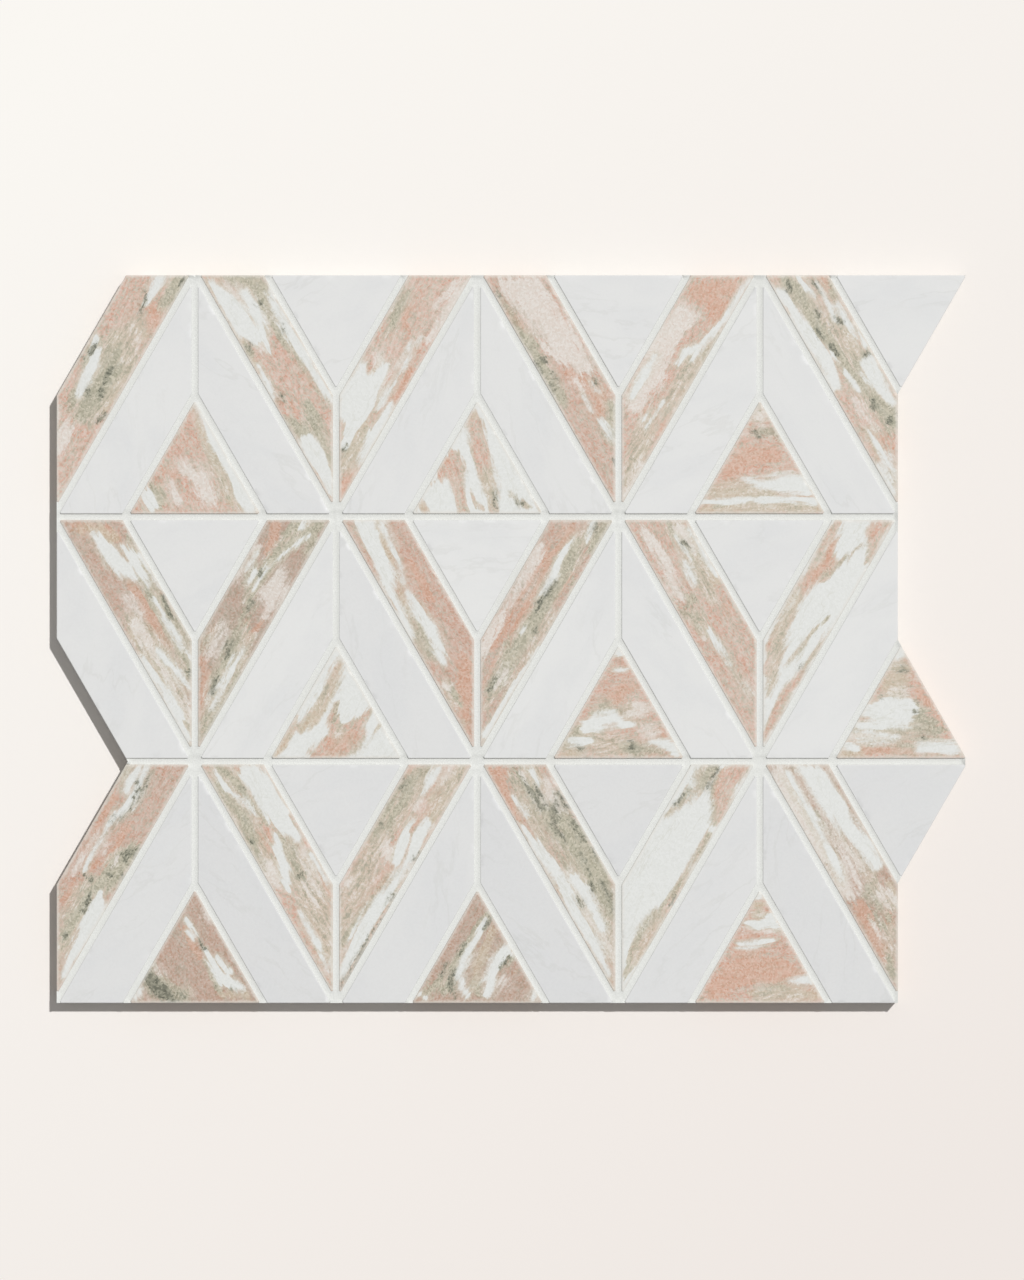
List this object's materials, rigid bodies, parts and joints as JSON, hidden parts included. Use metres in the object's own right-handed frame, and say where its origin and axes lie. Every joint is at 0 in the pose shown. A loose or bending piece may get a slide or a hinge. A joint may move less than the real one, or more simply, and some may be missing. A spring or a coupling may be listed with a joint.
{
  "type": "marble mosaic tile",
  "caption": "Marble mosaic sheet: white and rose veined trapezoids and triangles laid as a star pattern on mesh, with grouted joints and zigzag side edges that interlock.",
  "frame": {"origin": "middle of the sheet's outline, on the underside of the backing mesh", "axes": "+X along the rows of triangles, from the flush edge to the edge with points, +Y up the sheet, +Z out of the marble face"},
  "size_m": [0.3268, 0.2618, 0.01],
  "materials": {
    "white_marble": "honed white marble, very faint grey veining",
    "rose_marble": "honed rose marble with white lenses and green grey veins",
    "grout": "matt white cement grout, fine grained",
    "glass_mesh": "white woven glass fibre mesh with a clear glue coat"
  },
  "bodies": {
    "root": {"backing_mesh": "glass_mesh", "grout": "grout", "rose_trapezoid_r1_1": "rose_marble", "rose_trapezoid_r1_2": "rose_marble", "rose_trapezoid_r1_3": "rose_marble", "rose_trapezoid_r1_4": "rose_marble", "rose_trapezoid_r1_5": "rose_marble", "rose_trapezoid_r1_6": "rose_marble", "rose_trapezoid_r2_1": "rose_marble", "rose_trapezoid_r2_2": "rose_marble", "rose_trapezoid_r2_3": "rose_marble", "rose_trapezoid_r2_4": "rose_marble", "rose_trapezoid_r2_5": "rose_marble", "rose_trapezoid_r2_6": "rose_marble", "rose_trapezoid_r3_1": "rose_marble", "rose_trapezoid_r3_2": "rose_marble", "rose_trapezoid_r3_3": "rose_marble", "rose_trapezoid_r3_4": "rose_marble", "rose_trapezoid_r3_5": "rose_marble", "rose_trapezoid_r3_6": "rose_marble", "rose_triangle_r1_1": "rose_marble", "rose_triangle_r1_2": "rose_marble", "rose_triangle_r1_3": "rose_marble", "rose_triangle_r2_1": "rose_marble", "rose_triangle_r2_2": "rose_marble", "rose_triangle_r2_3": "rose_marble", "rose_triangle_r3_1": "rose_marble", "rose_triangle_r3_2": "rose_marble", "rose_triangle_r3_3": "rose_marble", "white_trapezoid_r1_1": "white_marble", "white_trapezoid_r1_2": "white_marble", "white_trapezoid_r1_3": "white_marble", "white_trapezoid_r1_4": "white_marble", "white_trapezoid_r1_5": "white_marble", "white_trapezoid_r1_6": "white_marble", "white_trapezoid_r2_1": "white_marble", "white_trapezoid_r2_2": "white_marble", "white_trapezoid_r2_3": "white_marble", "white_trapezoid_r2_4": "white_marble", "white_trapezoid_r2_5": "white_marble", "white_trapezoid_r2_6": "white_marble", "white_trapezoid_r3_1": "white_marble", "white_trapezoid_r3_2": "white_marble", "white_trapezoid_r3_3": "white_marble", "white_trapezoid_r3_4": "white_marble", "white_trapezoid_r3_5": "white_marble", "white_trapezoid_r3_6": "white_marble", "white_triangle_r1_1": "white_marble", "white_triangle_r1_2": "white_marble", "white_triangle_r1_3": "white_marble", "white_triangle_r2_1": "white_marble", "white_triangle_r2_2": "white_marble", "white_triangle_r2_3": "white_marble", "white_triangle_r3_1": "white_marble", "white_triangle_r3_2": "white_marble", "white_triangle_r3_3": "white_marble"}
  },
  "joints": []
}
